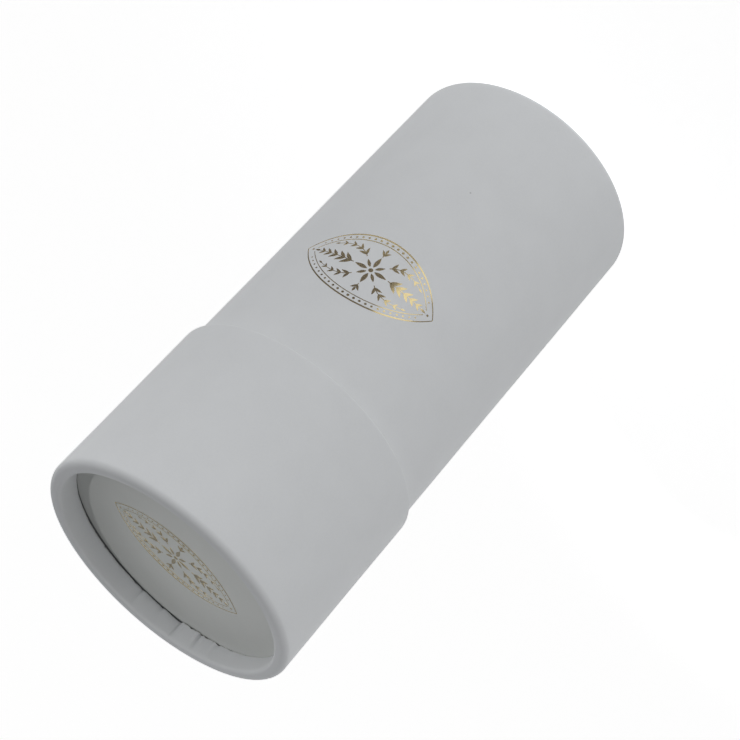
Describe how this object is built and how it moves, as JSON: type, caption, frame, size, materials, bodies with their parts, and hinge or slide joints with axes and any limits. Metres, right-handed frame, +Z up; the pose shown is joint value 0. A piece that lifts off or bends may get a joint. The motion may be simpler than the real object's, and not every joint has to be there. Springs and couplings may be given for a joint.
{
  "type": "paper tube box",
  "caption": "Round telescoping paper tube box: a short slip-on lid slides over a longer body, and both ends have a rolled rim around a recessed disc.",
  "frame": {"origin": "centre of the foot, on the plane that the body's rolled rim stands on", "axes": "+Z up along the axis of both tubes, from the body's foot to the lid's rim"},
  "size_m": [0.073, 0.073, 0.1575],
  "materials": {
    "body_paper": "matt white art paper wound on board",
    "body_board": "matt white papered board",
    "lid_paper": "matt white art paper wound on board",
    "lid_board": "matt white papered board with foil print"
  },
  "bodies": {
    "body": {"body_tube": "body_paper", "body_disc": "body_board"},
    "lid": {"lid_tube": "lid_paper", "lid_disc": "lid_board"}
  },
  "joints": [
    {"name": "lid_slide", "type": "slide", "parent": "body", "child": "lid", "axis": [0, 0, 1], "range_m": [0, 0.06]}
  ]
}
